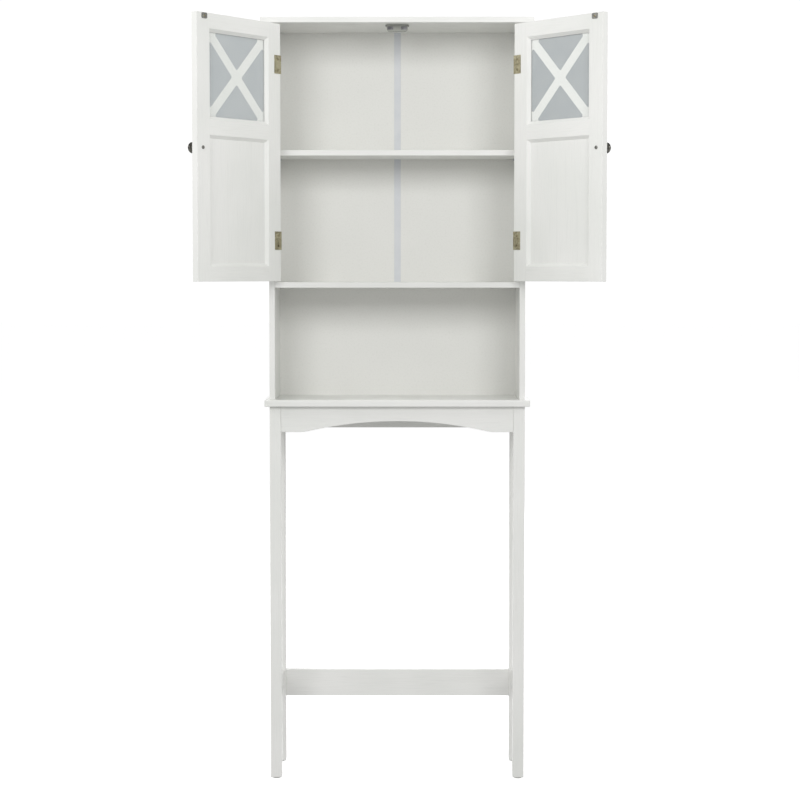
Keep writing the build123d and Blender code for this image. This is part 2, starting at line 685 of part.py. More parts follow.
def knob_screw(fit=0.0):
    """The machine screw that holds the knob, from the door's inner face."""
    x, z = knob_centre()
    length = DOOR_THICKNESS + KNOB_SCREW_IN_KNOB
    shank = rod((x, DOOR_INNER_Y, z), (0, -1, 0), length, KNOB_SCREW_RADIUS - SNUG_FIT + fit)
    head = rod((x, DOOR_INNER_Y, z), (0, 1, 0), KNOB_SCREW_HEAD_HEIGHT, KNOB_SCREW_HEAD_RADIUS)
    head = fillet(head.edges().sort_by(Axis.Y)[-1], KNOB_SCREW_HEAD_HEIGHT * 0.6)
    slot_length, slot_width = KNOB_SCREW_SLOT
    top = Pos(x, DOOR_INNER_Y + KNOB_SCREW_HEAD_HEIGHT, z)
    slot = top * Box(slot_length, KNOB_SCREW_HEAD_HEIGHT * 0.8, slot_width)
    cross = top * Box(slot_width, KNOB_SCREW_HEAD_HEIGHT * 0.8, slot_length)
    return shank + head - slot - cross


def strike_plate():
    """The rounded steel plate that the catch pulls, at the door's top free corner. Its screw
    sits in a counterbore, so that the plate lies flat on the magnet."""
    half = STRIKE_SIZE[0] / 2
    y = (DOOR_INNER_Y, DOOR_INNER_Y + STRIKE_THICKNESS)
    plate = block((STRIKE_X - half, STRIKE_X + half), y, (STRIKE_TOP_Z - STRIKE_SIZE[1], STRIKE_TOP_Z))
    plate = fillet(plate.edges().filter_by(Axis.Y), STRIKE_CORNER)
    return plate - rod(strike_screw_seat(), (0, 1, 0), STRIKE_THICKNESS, SMALL_HEAD_RADIUS + HOLE_FIT)


def strike_screw_seat():
    return (STRIKE_X, DOOR_INNER_Y + STRIKE_THICKNESS - STRIKE_SCREW_SINK, STRIKE_TOP_Z - STRIKE_SIZE[1] / 2)


# ---------------------------------------------------------------- hinges, left side

def knuckle_spans(z, on_door):
    """The height ranges of the knuckles of one leaf. The frame leaf has the end ones."""
    pitch = HINGE_HEIGHT / KNUCKLES
    low = z - HINGE_HEIGHT / 2
    spans = []
    for i in range(KNUCKLES):
        if (i % 2 == 1) == on_door:
            gap_low = 0 if i == 0 else KNUCKLE_GAP / 2
            gap_high = 0 if i == KNUCKLES - 1 else KNUCKLE_GAP / 2
            spans.append((low + i * pitch + gap_low, low + (i + 1) * pitch - gap_high))
    return spans


def with_knuckles(plate, x, z, on_door):
    """A leaf's plate with its knuckles and the strips that join them to it."""
    bore = HINGE_PIN_RADIUS + (HINGE_PIN_FIT if on_door else 0.02)
    for low, high in knuckle_spans(z, on_door):
        plate = plate + block(x, (HINGE_Y, HINGE_Y + LEAF_TO_BARREL), (low, high))
        plate = plate + rod((-HINGE_X, HINGE_Y, low), (0, 0, 1), high - low, BARREL_RADIUS)
    return plate - rod((-HINGE_X, HINGE_Y, z - HINGE_HEIGHT), (0, 0, 1), 2 * HINGE_HEIGHT, bore)


def frame_leaf(z):
    """The leaf on the side panel's inner face."""
    x = (-INNER, -INNER + LEAF)
    height = (z - HINGE_HEIGHT / 2, z + HINGE_HEIGHT / 2)
    plate = block(x, (HINGE_Y + LEAF_TO_BARREL, FRONT + FRAME_LEAF_DEPTH), height)
    return with_knuckles(plate, x, z, False)


def door_leaf(z):
    """The leaf that lies on the door's edge and wraps round onto its inner face."""
    x = (-DOOR_HINGE_EDGE - LEAF, -DOOR_HINGE_EDGE)
    height = (z - HINGE_HEIGHT / 2, z + HINGE_HEIGHT / 2)
    edge = block(x, (HINGE_Y + LEAF_TO_BARREL, DOOR_INNER_Y + LEAF), height)
    wrap = block((x[0], -DOOR_HINGE_EDGE + WRAP_WIDTH), (DOOR_INNER_Y, DOOR_INNER_Y + LEAF), height)
    return with_knuckles(edge + wrap, x, z, True)


def hinge_pin(z):
    """The pin, with a small button at each end."""
    half = HINGE_HEIGHT / 2
    shaft = rod((-HINGE_X, HINGE_Y, z - half), (0, 0, 1), HINGE_HEIGHT, HINGE_PIN_RADIUS)
    low = rod((-HINGE_X, HINGE_Y, z - half), (0, 0, -1), HINGE_BUTTON_HEIGHT, HINGE_BUTTON_RADIUS)
    high = rod((-HINGE_X, HINGE_Y, z + half), (0, 0, 1), HINGE_BUTTON_HEIGHT, HINGE_BUTTON_RADIUS)
    return shaft + low + high


def frame_hinge_screw_places():
    """Seats and directions of the screws in the left side panel."""
    y = FRONT + FRAME_LEAF_DEPTH - FRAME_SCREW_FROM_EDGE
    return [((-INNER + LEAF, y, z + s * HINGE_SCREW_SPREAD), (-1, 0, 0)) for z in HINGE_ZS for s in (-1, 1)]


def door_hinge_screw_places():
    """Seats and directions of the screws in the closed left door's inner face."""
    x = -DOOR_HINGE_EDGE + WRAP_WIDTH / 2
    y = DOOR_INNER_Y + LEAF
    return [((x, y, z + s * HINGE_SCREW_SPREAD), (0, -1, 0)) for z in HINGE_ZS for s in (-1, 1)]


# ---------------------------------------------------------------- wall brackets

def wall_bracket():
    """The left L-bracket on the top board, with a hole for a screw into the wall."""
    x = (-BRACKET_X - BRACKET_WIDTH / 2, -BRACKET_X + BRACKET_WIDTH / 2)
    foot = block(x, (REAR - BRACKET_LEG, REAR), (HEIGHT, HEIGHT + BRACKET_STEEL))
    upright = block(x, (REAR - BRACKET_STEEL, REAR), (HEIGHT, HEIGHT + BRACKET_RISE))
    centre = (-BRACKET_X, REAR + 1, HEIGHT + BRACKET_HOLE_HEIGHT)
    hole = rod(centre, (0, -1, 0), 2 * BRACKET_STEEL + 1, BRACKET_HOLE_RADIUS)
    return foot + upright - hole


def bracket_screw_seat():
    return (-BRACKET_X, REAR - BRACKET_SCREW_FROM_WALL, HEIGHT + BRACKET_STEEL)


# ---------------------------------------------------------------- assembly

def wood_fasteners():
    """Dowels, screws and nails that pass through boards, with the holes that they need."""
    joints = leg_frame_joints() + cabinet_joints()
    dowels = both([dowel(*joint) for joint in joints])
    holes = both([dowel_hole(*joint) for joint in joints])
    places = cam_places()
    holes += both([place * cam_drill() for place in places])
    ledge_spots = [(-PANEL_MIDDLE_X, y) for y in LEDGE_SCREW_YS]
    holes += both([ledge_screw(x, y, HOLE_FIT) for x, y in ledge_spots])
    holes += [back_nail(x, z, SNUG_FIT) for x, z in back_nail_places()]
    holes += [glide(x, y, SNUG_FIT) for x in (-1, 1) for y in (-1, 1)]
    fasteners = {
        "wood_dowels": dowels,
        "cam_bolts": both([place * cam_bolt() for place in places]),
        "cam_locks": both([place * cam_lock() for place in places]),
        "ledge_screws": both([ledge_screw(x, y) for x, y in ledge_spots]),
        "back_nails": [back_nail(x, z) for x, z in back_nail_places()],
        "leg_glides": [glide(x, y) for x in (-1, 1) for y in (-1, 1)],
    }
    return fasteners, holes


def cabinet_screws():
    """Small screws of the catch, the frame leaves and the wall brackets, with their holes."""
    places = both_sides_places(frame_hinge_screw_places() + [(bracket_screw_seat(), (0, 0, -1))])
    places += [(seat, (0, 0, 1)) for seat in catch_screw_seats()]
    screws = [small_screw(seat, direction, CABINET_SCREW_LENGTH) for seat, direction in places]
    holes = [small_screw_hole(seat, direction, CABINET_SCREW_LENGTH) for seat, direction in places]
    return screws, holes


def cabinet_nodes():
    """Every piece of the cabinet and the leg frame."""
    fasteners, holes = wood_fasteners()
    screws, screw_holes = cabinet_screws()
    left_panel = side_panel()
    left_back = upper_back_board()
    left_rail = side_rail((APRON_BOTTOM_Z, LEDGE_Z))
    left_stretcher = side_rail(STRETCHER_Z)
    wood = {
        "top_board": top_board(),
        "left_side_panel": left_panel,
        "right_side_panel": mirror(left_panel, about=Plane.YZ),
        "floor_board": floor_board(),
        "ledge_board": ledge_board(),
        "left_upper_back_board": left_back,
        "right_upper_back_board": mirror(left_back, about=Plane.YZ),
        "lower_back_board": lower_back_board(),
        "front_apron": front_apron(),
        "rear_apron": rear_apron(),
        "left_upper_side_rail": left_rail,
        "right_upper_side_rail": mirror(left_rail, about=Plane.YZ),
        "left_side_stretcher": left_stretcher,
        "right_side_stretcher": mirror(left_stretcher, about=Plane.YZ),
        "rear_crossbar": rear_crossbar(),
    }
    for y_name, y_side in (("front", -1), ("rear", 1)):
        for x_name, x_side in (("left", -1), ("right", 1)):
            wood[f"{y_name}_{x_name}_leg"] = leg(x_side, y_side)
    nodes = {name: [drilled(board, holes + screw_holes)] for name, board in wood.items()}
    nodes.update(fasteners)
    magnets = both([catch_magnet()])
    housing = drilled(catch_housing(), screw_holes) - magnets[0] - magnets[1]
    nodes["adjustable_shelf"] = [adjustable_shelf()]
    nodes["shelf_pins"] = both([shelf_pin(y) for y in PIN_ROWS_Y])
    nodes["back_joining_strip"] = [back_joining_strip()]
    nodes["catch_housing"] = [housing]
    nodes["catch_magnets"] = magnets
    nodes["cabinet_small_screws"] = screws
    nodes["cabinet_hinge_leaves"] = both([drilled(frame_leaf(z), screw_holes) for z in HINGE_ZS])
    nodes["hinge_pins"] = both([hinge_pin(z) for z in HINGE_ZS])
    nodes["wall_brackets"] = both([drilled(wall_bracket(), screw_holes)])
    return nodes


def closed_left_door():
    """Every piece of the left door, in its closed place."""
    places = door_hinge_screw_places() + [(strike_screw_seat(), (0, -1, 0))]
    screws = [small_screw(seat, direction, DOOR_SCREW_LENGTH) for seat, direction in places]
    holes = [small_screw_hole(seat, direction, DOOR_SCREW_LENGTH) for seat, direction in places]
    holes.append(knob_screw(HOLE_FIT))
    pieces = {name: [drilled(member, holes)] for name, member in door_members().items()}
    pieces["lower_panel"] = [lower_panel()]
    pieces["window_pane"] = [window_pane()]
    pieces["window_grille"] = [window_grille()]
    pieces["hinge_leaves"] = [drilled(door_leaf(z), holes[:4]) for z in HINGE_ZS]
    pieces["small_screws"] = screws
    pieces["knob"] = [knob()]
    pieces["knob_screw"] = [knob_screw()]
    pieces["strike_plate"] = [drilled(strike_plate(), holes[4:5])]
    return pieces


def door_nodes():
    """Both doors, swung open. The right one is the mirror image, open a little further."""
    nodes = {}
    for name, shapes in closed_left_door().items():
        nodes[f"left_door_{name}"] = turned(shapes, -LEFT_OPEN_DEG)
        nodes[f"right_door_{name}"] = mirrored(turned(shapes, -RIGHT_OPEN_DEG))
    return nodes


nodes = cabinet_nodes()
nodes.update(door_nodes())
for name, shapes in nodes.items():
    solids = [solid for shape in shapes for solid in shape.solids()]
    export_step(Compound(solids), f"parts/{name}.step")
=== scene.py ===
import json
import math

import bpy
import numpy as np
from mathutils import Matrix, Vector


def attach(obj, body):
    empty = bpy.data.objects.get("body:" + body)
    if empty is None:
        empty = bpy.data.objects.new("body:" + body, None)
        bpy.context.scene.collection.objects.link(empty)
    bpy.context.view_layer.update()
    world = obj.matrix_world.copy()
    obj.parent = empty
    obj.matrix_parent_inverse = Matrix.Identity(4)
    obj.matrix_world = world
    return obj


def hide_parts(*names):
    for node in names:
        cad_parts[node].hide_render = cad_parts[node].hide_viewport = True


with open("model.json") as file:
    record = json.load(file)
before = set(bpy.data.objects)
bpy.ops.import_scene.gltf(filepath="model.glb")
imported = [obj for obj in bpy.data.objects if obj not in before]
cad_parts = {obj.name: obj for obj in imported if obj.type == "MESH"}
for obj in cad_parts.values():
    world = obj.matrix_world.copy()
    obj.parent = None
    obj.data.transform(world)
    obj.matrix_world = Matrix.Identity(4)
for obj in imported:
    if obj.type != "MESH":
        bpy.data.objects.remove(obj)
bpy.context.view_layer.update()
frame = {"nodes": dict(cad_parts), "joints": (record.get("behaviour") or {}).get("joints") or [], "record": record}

# A white cabinet on an open leg frame, with two doors that stand open. Metres, in the frame of
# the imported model: X across, Y towards the wall, Z up.

SIDES = ("left", "right")
DOORS = {side: f"{side}_door" for side in SIDES}

# ---------------------------------------------------------------- door coordinates


def door_axes(side):
    """Hinge point, direction from hinge to free edge, and outward direction of the outer face,
    all at rest. The closed door runs along X; resting open it is turned by the joint's travel."""
    joint = next(j for j in frame["joints"] if j["child"] == DOORS[side])
    turn = math.radians(abs(joint["range_deg"][0]))
    mirror = 1.0 if side == "left" else -1.0
    along = np.array([mirror * math.cos(turn), -math.sin(turn), 0.0])
    outward = np.array([-mirror * math.sin(turn), -math.cos(turn), 0.0])
    return np.array(joint["pos_m"]) * (1, 1, 0), along, outward


def node_points(node):
    """All corner points of a CAD node as an array of rows."""
    mesh = frame["nodes"][node].data
    flat = np.zeros(len(mesh.vertices) * 3)
    mesh.vertices.foreach_get("co", flat)
    return flat.reshape(-1, 3)


def door_extent(side, node):
    """Lowest and highest value along the door, outward and up, of a door's node."""
    hinge, along, outward = door_axes(side)
    points = node_points(f"{DOORS[side]}_{node}") - hinge
    local = np.stack([points @ along, points @ outward, points[:, 2]], axis=1)
    return local.min(axis=0), local.max(axis=0)


def from_door(side, local):
    """Points given along the door, outward and up, moved to where the open door holds them."""
    hinge, along, outward = door_axes(side)
    up = np.array([0.0, 0.0, 1.0])
    local = np.asarray(local, float)
    return hinge + local[:, :1] * along + local[:, 1:2] * outward + local[:, 2:3] * up


# ---------------------------------------------------------------- mesh making


def make_piece(name, points, faces, body, finishes, finish_of_face=None, smooth=True):
    """A piece from points and faces, riding on a body, with its finishes."""
    mesh = bpy.data.meshes.new(name)
    mesh.from_pydata(np.asarray(points).tolist(), [], faces)
    for finish in finishes:
        mesh.materials.append(finish)
    if finish_of_face is not None:
        mesh.polygons.foreach_set("material_index", np.asarray(finish_of_face, np.int32))
    mesh.polygons.foreach_set("use_smooth", np.full(len(mesh.polygons), smooth))
    mesh.update()
    piece = bpy.data.objects.new(name, mesh)
    bpy.context.scene.collection.objects.link(piece)
    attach(piece, body)
    return piece


def ring_faces(rings, count):
    """Four-sided faces between neighbouring closed rings of count points each."""
    row, column = np.meshgrid(np.arange(rings - 1), np.arange(count), indexing="ij")
    following = (column + 1) % count
    corners = [row * count + column, row * count + following,
               (row + 1) * count + following, (row + 1) * count + column]
    return np.stack(corners, axis=-1).reshape(-1, 4)


def closed_tube(rings, count):
    """The faces between neighbouring rings, then one flat face over each end ring."""
    faces = ring_faces(rings, count).tolist()
    faces.append(list(range(count))[::-1])
    faces.append(list(range((rings - 1) * count, rings * count)))
    return faces


def turned_surface(profile, count):
    """A surface of revolution about the outward line: the profile point (r, h) at angle t lies
    r cos t along, r sin t up and h outward. A flat face closes the first and the last ring."""
    turn = np.arange(count) * (2 * math.pi / count)
    radius, height = profile[:, :1], profile[:, 1:2]
    points = np.stack([radius * np.cos(turn), height + 0 * turn, radius * np.sin(turn)], axis=-1)
    return points.reshape(-1, 3), closed_tube(len(profile), count)


def smooth_profile(marks, steps):
    """A smooth curve through the marks: a Catmull-Rom spline, each span a cubic in its share."""
    marks = np.asarray(marks, float)
    padded = np.vstack([2 * marks[0] - marks[1], marks, 2 * marks[-1] - marks[-2]])
    share = np.linspace(0, 1, steps, endpoint=False)[:, None]
    spans = []
    for i in range(len(marks) - 1):
        a, b, c, d = padded[i:i + 4]
        spans.append(0.5 * (2 * b + (c - a) * share + (2 * a - 5 * b + 4 * c - d) * share**2
                            + (3 * b - a - 3 * c + d) * share**3))
    return np.vstack([*spans, marks[-1:]])


# ---------------------------------------------------------------- finishes


def linear(red, green, blue):
    """A colour given in screen values from 0 to 255, as linear light by the sRGB curve."""
    screen = np.array([red, green, blue]) / 255.0
    light = np.where(screen <= 0.04045, screen / 12.92, ((screen + 0.055) / 1.055) ** 2.4)
    return (*light, 1.0)


class Finish:
    """A procedural finish: one Principled shader and the patterns that feed it."""

    def __init__(self, name, **constants):
        self.material = bpy.data.materials.new(name)
        self.material.use_nodes = True
        self.tree = self.material.node_tree
        self.shader = self.tree.nodes["Principled BSDF"]
        for socket, value in constants.items():
            self.shader.inputs[socket.replace("_", " ")].default_value = value
        self.place = self.tree.nodes.new("ShaderNodeTexCoord").outputs["Object"]

    def node(self, kind, **settings):
        """A new node of a kind, with its own settings."""
        made = self.tree.nodes.new(kind)
        for key, value in settings.items():
            setattr(made, key, value)
        return made

    def feed(self, source, target):
        self.tree.links.new(source, target)

    def stretched(self, scale):
        """Object coordinates scaled separately along X, Y and Z."""
        mapping = self.node("ShaderNodeMapping")
        mapping.inputs["Scale"].default_value = scale
        self.feed(self.place, mapping.inputs["Vector"])
        return mapping.outputs["Vector"]

    def noise(self, scale, detail=3.0, rough=0.5, stretch=(1, 1, 1), distortion=0.0):
        """A noise pattern: finer for a larger scale, drawn out along an axis of small stretch."""
        texture = self.node("ShaderNodeTexNoise")
        texture.inputs["Scale"].default_value = scale
        texture.inputs["Detail"].default_value = detail
        texture.inputs["Roughness"].default_value = rough
        texture.inputs["Distortion"].default_value = distortion
        self.feed(self.stretched(stretch), texture.inputs["Vector"])
        return texture.outputs["Fac"]

    def spread(self, value, low, high, to_low=0.0, to_high=1.0):
        """The value between low and high stretched to another range, and held there outside it."""
        ranged = self.node("ShaderNodeMapRange")
        for socket, number in zip(("From Min", "From Max", "To Min", "To Max"),
                                  (low, high, to_low, to_high)):
            ranged.inputs[socket].default_value = number
        self.feed(value, ranged.inputs["Value"])
        return ranged.outputs["Result"]

    def blend(self, share, first, second):
        """A colour between two, each a colour or another pattern's output, by the share."""
        mix = self.node("ShaderNodeMix", data_type="RGBA")
        self.feed(share, mix.inputs["Factor"])
        for socket, colour in ((mix.inputs[6], first), (mix.inputs[7], second)):
            if isinstance(colour, tuple):
                socket.default_value = colour
            else:
                self.feed(colour, socket)
        return mix.outputs[2]

    def relief(self, *layers):
        """Bumps laid over each other: each layer is a pattern and its height in metres."""
        below = None
        for pattern, height in layers:
            bump = self.node("ShaderNodeBump")
            bump.inputs["Strength"].default_value = 1.0
            bump.inputs["Distance"].default_value = height
            self.feed(pattern, bump.inputs["Height"])
            if below is not None:
                self.feed(below, bump.inputs["Normal"])
            below = bump.outputs["Normal"]
        self.feed(below, self.shader.inputs["Normal"])

    def colour(self, source):
        self.feed(source, self.shader.inputs["Base Color"])

    def roughness(self, source):
        self.feed(source, self.shader.inputs["Roughness"])


def darker(colour, share):
    """A colour dimmed to a share of its light, still opaque."""
    return tuple(share * part for part in colour[:3]) + (1.0,)


# Parts of a pattern's range that are stretched over a blend, and relief heights in metres.
MIDDLE = (0.3, 0.7)
NARROW_MIDDLE = (0.35, 0.65)
PEEL_HEIGHT = 0.00004
FIBRE_HEIGHT = 0.00007
STREAK_HEIGHT = 0.00006
FINE_HEIGHT = 0.00003
SCRATCH_HEIGHT = 0.00002
FLECK_HEIGHT = 0.00006
RIPPLE_HEIGHT = 0.0002
FROST_HEIGHT = 0.00005

UPRIGHT = (1.0, 1.0, 0.045)
LEVEL = (0.045, 0.045, 1.0)
PAINT_LIGHT, PAINT_SHADE = linear(234, 234, 231), linear(228, 229, 225)
PAINT_ROUGHNESS = (0.36, 0.5)
FIBRE_TONE = 0.86
STREAK_TONE = 0.9


def painted_board(name, grain):
    """Sprayed and sanded off-white paint that lets a little of the board's grain through."""
    finish = Finish(name, Specular_IOR_Level=0.42, Coat_Weight=0.12, Coat_Roughness=0.35)
    fibres = finish.noise(420.0, detail=4.0, rough=0.62, stretch=grain)
    streaks = finish.noise(90.0, rough=0.55, stretch=grain, distortion=0.3)
    clouds = finish.noise(5.0, detail=2.0)
    peel = finish.noise(900.0, detail=2.0)
    base = finish.blend(finish.spread(clouds, *NARROW_MIDDLE), PAINT_LIGHT, PAINT_SHADE)
    fibre_share = finish.spread(fibres, 0.5, 0.78, to_high=0.34)
    base = finish.blend(fibre_share, base, darker(PAINT_SHADE, FIBRE_TONE))
    streak_share = finish.spread(streaks, 0.56, 0.8, to_high=0.3)
    base = finish.blend(streak_share, base, darker(PAINT_SHADE, STREAK_TONE))
    finish.colour(base)
    finish.roughness(finish.spread(fibres, 0.35, 0.7, *PAINT_ROUGHNESS))
    finish.relief((peel, PEEL_HEIGHT), (fibres, FIBRE_HEIGHT), (streaks, STREAK_HEIGHT))
    return finish.material


def foil_back():
    """Matte printed foil on thin fibreboard, with a very fine mottle."""
    finish = Finish("white_foil_back", Specular_IOR_Level=0.3)
    mottle = finish.noise(240.0, detail=4.0, rough=0.6)
    clouds = finish.noise(3.0, detail=2.0)
    light, shade, dots = linear(233, 233, 229), linear(228, 228, 224), linear(208, 208, 203)
    base = finish.blend(finish.spread(clouds, *MIDDLE), light, shade)
    finish.colour(finish.blend(finish.spread(mottle, 0.5, 0.8, to_high=0.3), base, dots))
    finish.roughness(finish.spread(mottle, *MIDDLE, 0.55, 0.7))
    finish.relief((mottle, FINE_HEIGHT))
    return finish.material


def plastic(name, tone, dark, roughness):
    """Moulded plastic with a fine spark-eroded texture."""
    finish = Finish(name, Specular_IOR_Level=0.45)
    texture = finish.noise(700.0, rough=0.6)
    clouds = finish.noise(30.0, detail=2.0)
    finish.colour(finish.blend(finish.spread(clouds, *NARROW_MIDDLE), tone, dark))
    finish.roughness(finish.spread(texture, *MIDDLE, roughness - 0.06, roughness + 0.08))
    finish.relief((texture, FINE_HEIGHT))
    return finish.material


def plated_metal(name, bright, dark, roughness):
    """Plated steel or brass: darker patina in cloudy patches and fine scratches."""
    finish = Finish(name, Metallic=1.0, Specular_IOR_Level=0.5)
    patina = finish.noise(60.0, detail=5.0, rough=0.65, distortion=0.6)
    fine = finish.noise(1500.0, detail=2.0, rough=0.6)
    scratches = finish.noise(600.0, detail=2.0, stretch=(1.0, 1.0, 0.06))
    tone = finish.blend(finish.spread(patina, 0.38, 0.66), bright, dark)
    tone = finish.blend(finish.spread(fine, 0.55, 0.8, to_high=0.5), tone, dark)
    finish.colour(tone)
    finish.roughness(finish.spread(patina, *MIDDLE, roughness - 0.08, roughness + 0.14))
    finish.relief((scratches, SCRATCH_HEIGHT), (fine, SCRATCH_HEIGHT))
    return finish.material


def bare_beech():
    """Bare turned beech with short brown flecks."""
    finish = Finish("bare_beech", Specular_IOR_Level=0.3)
    flecks = finish.noise(260.0, rough=0.6, stretch=(1, 1, 0.3))
    wood, fleck = linear(216, 188, 148), linear(170, 132, 92)
    finish.colour(finish.blend(finish.spread(flecks, 0.4, 0.75), wood, fleck))
    finish.roughness(finish.spread(flecks, *MIDDLE, 0.55, 0.75))
    finish.relief((flecks, FLECK_HEIGHT))
    return finish.material


def clear_sheet():
    """The thin clear sheet of a window, with a faint green tone and a soft gloss."""
    finish = Finish("clear_window_sheet", Alpha=0.1, Specular_IOR_Level=0.5)
    ripple = finish.noise(14.0, detail=2.0)
    light, shade = linear(224, 230, 228), linear(216, 223, 221)
    finish.colour(finish.blend(finish.spread(ripple, *MIDDLE), light, shade))
    finish.roughness(finish.spread(ripple, *MIDDLE, 0.16, 0.24))
    finish.relief((ripple, RIPPLE_HEIGHT))
    return finish.material


def frosted_film(name, light, dark):
    """The blue-grey frosting of a window: a dense, fine, slightly uneven grain, with lighter flecks painted on as
    glints.
    """
    finish = Finish(name, Specular_IOR_Level=0.35)
    frost = finish.noise(1300.0, detail=4.0, rough=0.7)
    clouds = finish.noise(22.0, rough=0.55)
    base = finish.blend(finish.spread(clouds, *MIDDLE), light, dark)
    # A lighter colour in the finest flecks of the grain: painted glints.
    painted_glint = linear(190, 193, 195)
    finish.colour(finish.blend(finish.spread(frost, 0.5, 0.8, to_high=0.3), base, painted_glint))
    finish.roughness(finish.spread(frost, *MIDDLE, 0.5, 0.68))
    finish.relief((frost, FROST_HEIGHT))
    return finish.material


FINISHES = {
    "paint_upright": painted_board("white_paint_upright_grain", UPRIGHT),
    "paint_level": painted_board("white_paint_level_grain", LEVEL),
    "painted_back": foil_back(),
    "grey_strip": plastic("blue_grey_strip", linear(214, 216, 219), linear(208, 211, 215), 0.5),
    "antique_brass": plated_metal("antique_brass_plate", linear(184, 178, 152), linear(118, 111, 88), 0.42),
    "brass_screw": plated_metal("antique_brass_screw", linear(160, 152, 124), linear(84, 77, 58), 0.4),
    "dark_bronze": plated_metal("dark_bronze_knob", linear(98, 97, 92), linear(42, 41, 38), 0.2),
    "dark_steel": plated_metal("blackened_steel", linear(146, 146, 141), linear(98, 98, 94), 0.38),
    "zinc": plated_metal("zinc_plate", linear(206, 208, 210), linear(160, 163, 167), 0.34),
    "bare_wood": bare_beech(),
    "grey_plastic": plastic("grey_catch_plastic", linear(150, 152, 145), linear(138, 140, 134), 0.42),
    "magnet": plated_metal("dull_nickel_magnet", linear(120, 120, 122), linear(74, 74, 76), 0.5),
    "glide_plastic": plastic("nylon_glide", linear(214, 215, 212), linear(205, 206, 203), 0.5),
    "frosted_pane": clear_sheet(),
    # One frosted film in two copies: the right window's is darker, painted shade where that window stands in less
    # light.
    "left_frost": frosted_film("frosted_film_left_lit", linear(178, 181, 183), linear(172, 176, 179)),
    "right_frost": frosted_film("frosted_film_right_painted_shade", linear(167, 170, 172), linear(160, 164, 167)),
}

LEVEL_GRAIN = ("top_board", "floor_board", "ledge_board", "adjustable_shelf", "front_apron",
               "rear_apron", "_rail", "stretcher", "crossbar", "window_grille")


def finish_for(node, slot):
    """The finish of a CAD node: paint follows the board's own direction, the rest its slot."""
    if slot == "white_paint":
        level = any(word in node for word in LEVEL_GRAIN)
        return FINISHES["paint_level" if level else "paint_upright"]
    return FINISHES[slot]


for subpart in frame["record"]["subparts"]:
    shown = frame["nodes"][subpart["node"]]
    shown.data.materials.clear()
    shown.data.materials.append(finish_for(subpart["node"], subpart["material_slot"]))


# ---------------------------------------------------------------- turned knobs

KNOB_MARKS = [
    (0.0074, 0.0), (0.0075, 0.0008), (0.0070, 0.0019), (0.0058, 0.0027), (0.0053, 0.0042),
    (0.0053, 0.0068), (0.0062, 0.0090), (0.0083, 0.0107), (0.0088, 0.0113), (0.0097, 0.0119),
    (0.0114, 0.0137), (0.0119, 0.0156), (0.0115, 0.0172), (0.0100, 0.0190), (0.0076, 0.0203),
    (0.0045, 0.0213), (0.0015, 0.0218), (0.0003, 0.0219),
]
KNOB_STEPS = 5
KNOB_SIDES = 64


def turned_knob(side):
    """A turned knob: a base bead, a narrow waist, a small quirk under the head and a low dome."""
    low, high = door_extent(side, "knob")
    centre = (low + high) / 2
    points, faces = turned_surface(smooth_profile(KNOB_MARKS, KNOB_STEPS), KNOB_SIDES)
    points = points + (centre[0], low[1], centre[2])
    points = from_door(side, points)
    if side == "right":
        faces = [f[::-1] for f in faces]
    knob = make_piece(f"{DOORS[side]}_turned_knob", points, faces, DOORS[side],
                      [FINISHES["dark_bronze"]])
    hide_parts(f"{DOORS[side]}_knob")


# ---------------------------------------------------------------- window sheets

BAR_WIDTH = 0.021
SHEET_IN_GROOVE = 0.0055
CORNER_RADIUS = 0.004
# The films stand clear of the pane's outer face, and the sheet stops short of it, so that neither
# shares a plane with the bars.
FILM_THICKNESS = 0.0003
FILM_CLEARANCE = 0.00003
SHEET_GAP = 0.00015
SHEET_CORNER = 0.001
SHEET_STEPS = 4


def rounded_outline(corners, radius, steps=6):
    """An outline with rounded corners: at each corner an arc that touches both of its sides."""
    corners = np.asarray(corners, float)
    outline = []
    for i in range(len(corners)):
        here = corners[i]
        before = corners[i - 1] - here
        after = corners[(i + 1) % len(corners)] - here
        before /= np.linalg.norm(before)
        after /= np.linalg.norm(after)
        half = math.acos(float(np.clip(before @ after, -1, 1))) / 2
        middle = (before + after) / np.linalg.norm(before + after)
        centre = here + middle * radius / math.sin(half)
        first = here + before * radius / math.tan(half) - centre
        last = here + after * radius / math.tan(half) - centre
        share = np.linspace(0, 1, steps)[:, None]
        arc = first * (1 - share) + last * share
        arc *= radius / np.linalg.norm(arc, axis=1, keepdims=True)
        outline.append(centre + arc)
    return np.vstack(outline)


def slab(outline, low, high):
    """A flat plate: the outline at two outward distances, joined by its sides."""
    count = len(outline)
    rings = []
    for distance in (low, high):
        rings.append(np.stack([outline[:, 0], np.full(count, distance), outline[:, 1]], axis=1))
    return np.vstack(rings), closed_tube(2, count)


def counter_clockwise(outline):
    """The outline in the turning sense that makes a slab's faces point outwards."""
    x, z = outline[:, 0], outline[:, 1]
    area = np.sum(x * np.roll(z, -1) - np.roll(x, -1) * z)
    return outline if area > 0 else outline[::-1]


def window_openings(side):
    """The four rounded triangles that the crossed bars leave open, in door coordinates."""
    low, high = door_extent(side, "window_grille")
    centre = np.array([(low[0] + high[0]) / 2, (low[2] + high[2]) / 2])
    half_x = (high[0] - low[0]) / 2 - SHEET_IN_GROOVE
    half_z = (high[2] - low[2]) / 2 - SHEET_IN_GROOVE
    diagonal = math.hypot(half_x, half_z)
    shift_x = BAR_WIDTH / 2 * diagonal / half_z
    shift_z = BAR_WIDTH / 2 * diagonal / half_x
    beside = np.array([(half_x, shift_z - half_z), (half_x, half_z - shift_z), (shift_x, 0)])
    above = np.array([(half_x - shift_x, half_z), (shift_x - half_x, half_z), (0, shift_z)])
    return [centre + sign * triangle for triangle in (beside, above) for sign in (1, -1)]


